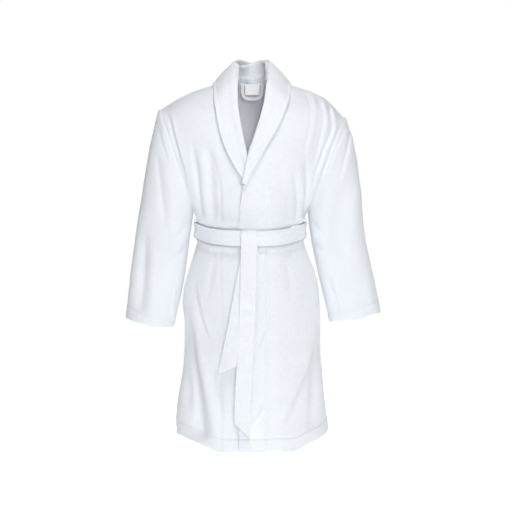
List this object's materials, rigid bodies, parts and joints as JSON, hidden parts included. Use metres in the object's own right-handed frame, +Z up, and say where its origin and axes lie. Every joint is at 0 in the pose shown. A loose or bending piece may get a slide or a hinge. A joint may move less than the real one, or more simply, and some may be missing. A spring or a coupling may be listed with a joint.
{
  "type": "bathrobe",
  "caption": "Long white terry bathrobe with a shawl collar, long sleeves, a hanging loop and a tied cloth belt, shaped as worn or hung.",
  "frame": {"origin": "middle of the back-neck seam, on the seam line, where the robe hangs", "axes": "+Z up along the robe's length, -Y out of the front, +X to the wearer's left"},
  "size_m": [0.7622, 0.3516, 1.1333],
  "materials": {
    "robe_cloth": "soft white cotton terry with a short pile",
    "collar_cloth": "soft white cotton terry, doubled",
    "belt_cloth": "soft white cotton terry, stitched flat",
    "tape": "white woven cotton tape",
    "label": "smooth white woven label, blank",
    "thread": "white cotton thread"
  },
  "bodies": {
    "robe_body": {"back_panel": "robe_cloth", "left_front_panel": "robe_cloth", "right_front_panel": "robe_cloth", "left_collar": "collar_cloth", "right_collar": "collar_cloth", "under_collar": "collar_cloth", "left_front_facing": "robe_cloth", "right_front_facing": "robe_cloth", "back_neck_tape": "tape", "belt_wrap": "belt_cloth", "left_belt_loop": "belt_cloth", "right_belt_loop": "belt_cloth", "hem_thread": "thread", "left_collar_thread": "thread", "right_collar_thread": "thread", "left_facing_thread": "thread", "right_facing_thread": "thread"},
    "left_sleeve": {"left_sleeve": "robe_cloth", "left_cuff_thread": "thread"},
    "right_sleeve": {"right_sleeve": "robe_cloth", "right_cuff_thread": "thread"},
    "belt_knot": {"belt_knot": "belt_cloth"},
    "belt_front_tail": {"belt_front_tail": "belt_cloth"},
    "belt_rear_tail": {"belt_rear_tail": "belt_cloth"},
    "hanging_loop": {"hanging_loop": "tape"},
    "woven_label": {"woven_label": "label"}
  },
  "joints": [
    {"name": "left_sleeve_swing", "type": "hinge", "parent": "robe_body", "child": "left_sleeve", "pos_m": [0.271, -0.075, -0.08], "axis": [0, -1, 0], "range_deg": [0, 45]},
    {"name": "right_sleeve_swing", "type": "hinge", "parent": "robe_body", "child": "right_sleeve", "pos_m": [-0.271, -0.075, -0.08], "axis": [0, 1, 0], "range_deg": [0, 45]},
    {"name": "knot_tilt", "type": "hinge", "parent": "robe_body", "child": "belt_knot", "pos_m": [-0.009, -0.2067, -0.419], "axis": [-1, 0, 0], "range_deg": [0, 50]},
    {"name": "front_tail_sway", "type": "hinge", "parent": "belt_knot", "child": "belt_front_tail", "pos_m": [-0.009, -0.21449, -0.4935], "axis": [0, -0.9942, 0.108], "range_deg": [-15, 15]},
    {"name": "rear_tail_sway", "type": "hinge", "parent": "belt_knot", "child": "belt_rear_tail", "pos_m": [-0.009, -0.20674, -0.4935], "axis": [0, -0.9942, 0.108], "range_deg": [-15, 0]},
    {"name": "loop_flip", "type": "hinge", "parent": "robe_body", "child": "hanging_loop", "pos_m": [0, -0.01791, -0.003], "axis": [-1, 0, 0], "range_deg": [0, 150]},
    {"name": "label_flip", "type": "hinge", "parent": "robe_body", "child": "woven_label", "pos_m": [0, -0.01791, -0.003], "axis": [-1, 0, 0], "range_deg": [0, 150]}
  ]
}
